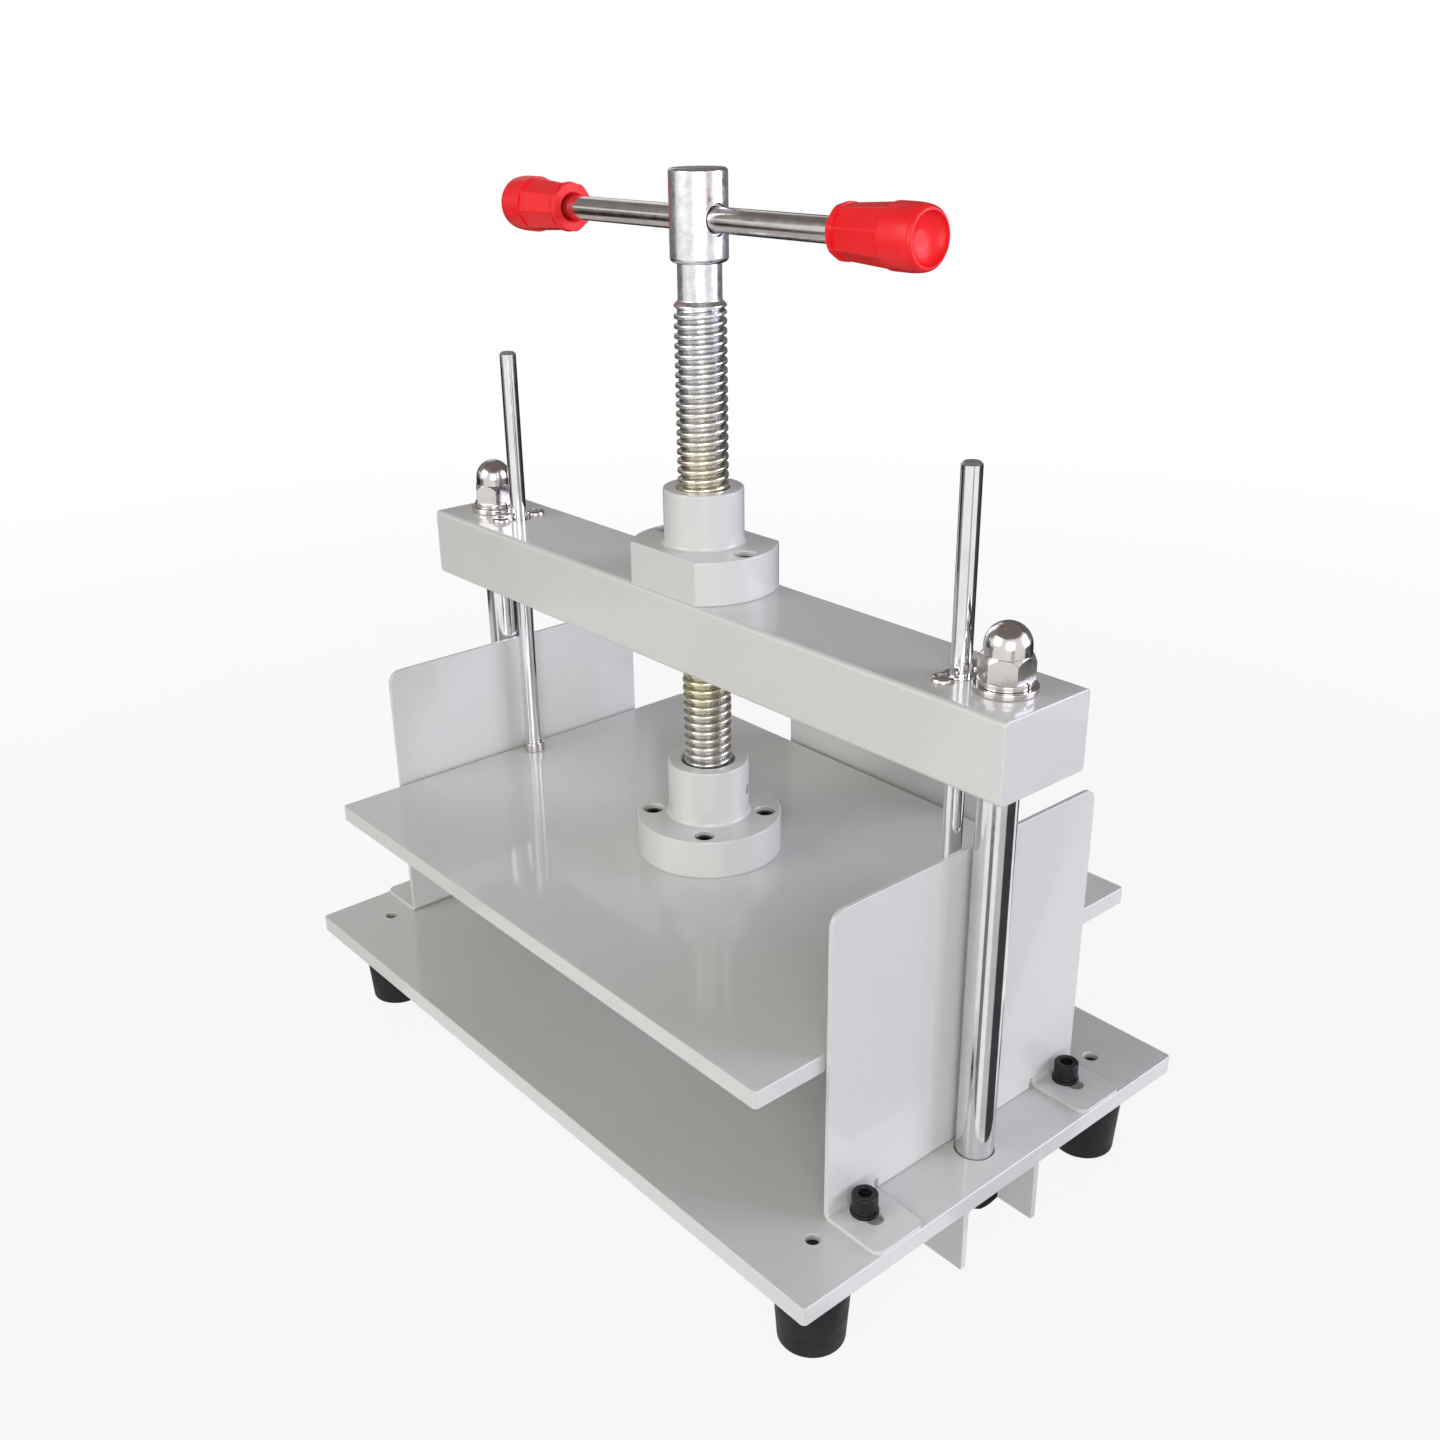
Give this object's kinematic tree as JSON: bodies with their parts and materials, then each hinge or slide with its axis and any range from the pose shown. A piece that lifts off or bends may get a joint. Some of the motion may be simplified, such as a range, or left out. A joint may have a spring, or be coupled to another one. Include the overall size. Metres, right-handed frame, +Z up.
{
  "type": "screw press",
  "caption": "Hand screw press: a painted plate driven by a threaded spindle and T handle between two posts, with guide rods, side guards and rubber feet.",
  "frame": {"origin": "on the floor under the spindle's axis, in the middle of the feet", "axes": "+X along the crossbeam towards the right post, +Y towards the back guard, +Z up along the spindle"},
  "size_m": [0.376, 0.2344, 0.4245],
  "materials": {
    "painted_plate": "glossy light grey paint",
    "ground_steel": "ground and chromed steel",
    "zinc_steel": "turned, zinc plated steel",
    "chromed_fasteners": "bright plated",
    "black_fasteners": "black oxide, oiled",
    "brass": "turned",
    "black_rubber": "matt moulded rubber",
    "red_plastic": "moulded plastic"
  },
  "bodies": {
    "frame": {"base_plate": "painted_plate", "base_channel": "painted_plate", "foot_front_left": "black_rubber", "foot_front_right": "black_rubber", "foot_back_left": "black_rubber", "foot_back_right": "black_rubber", "foot_studs": "black_fasteners", "post_left": "ground_steel", "post_right": "ground_steel", "low_washers": "black_fasteners", "low_nuts": "black_fasteners", "crossbeam": "painted_plate", "top_washers": "chromed_fasteners", "spring_washers": "chromed_fasteners", "cap_nuts": "chromed_fasteners", "guide_bush_left": "ground_steel", "guide_bush_right": "ground_steel", "bush_screws": "chromed_fasteners", "screw_nut": "painted_plate", "nut_screws": "black_fasteners", "guard_screws": "black_fasteners", "guard_washers": "black_fasteners", "lock_washers": "black_fasteners", "guard_back": "painted_plate", "back_guard_screws": "black_fasteners"},
    "left_guard": {"guard_left": "painted_plate"},
    "right_guard": {"guard_right": "painted_plate"},
    "plate": {"platen": "painted_plate", "guide_rod_left": "ground_steel", "guide_rod_right": "ground_steel", "rod_collars": "chromed_fasteners", "bearing_hub": "painted_plate", "hub_screws": "black_fasteners", "set_screw": "black_fasteners", "thrust_pad": "brass"},
    "spindle": {"lead_screw": "zinc_steel"},
    "handle": {"handle_bar": "chromed_fasteners", "grip_left": "red_plastic", "grip_right": "red_plastic"}
  },
  "joints": [
    {"name": "plate_slide", "type": "slide", "parent": "frame", "child": "plate", "axis": [0, 0, 1], "range_m": [-0.068, 0.0508]},
    {"name": "spindle_turn", "type": "hinge", "parent": "plate", "child": "spindle", "pos_m": [0, 0, 0.123], "axis": [0, 0, 1], "range_deg": [-6119, 4571]},
    {"name": "handle_slide", "type": "slide", "parent": "spindle", "child": "handle", "axis": [1, 0, 0], "range_m": [-0.0695, 0.0735]},
    {"name": "left_guard_slide", "type": "slide", "parent": "frame", "child": "left_guard", "axis": [-1, 0, 0], "range_m": [-0.0013, 0.0004]},
    {"name": "right_guard_slide", "type": "slide", "parent": "frame", "child": "right_guard", "axis": [1, 0, 0], "range_m": [-0.0013, 0.0004]}
  ],
  "couplings": [
    {"joint": "plate_slide", "follows": "spindle_turn", "m_per_rad": 0.00063662}
  ]
}
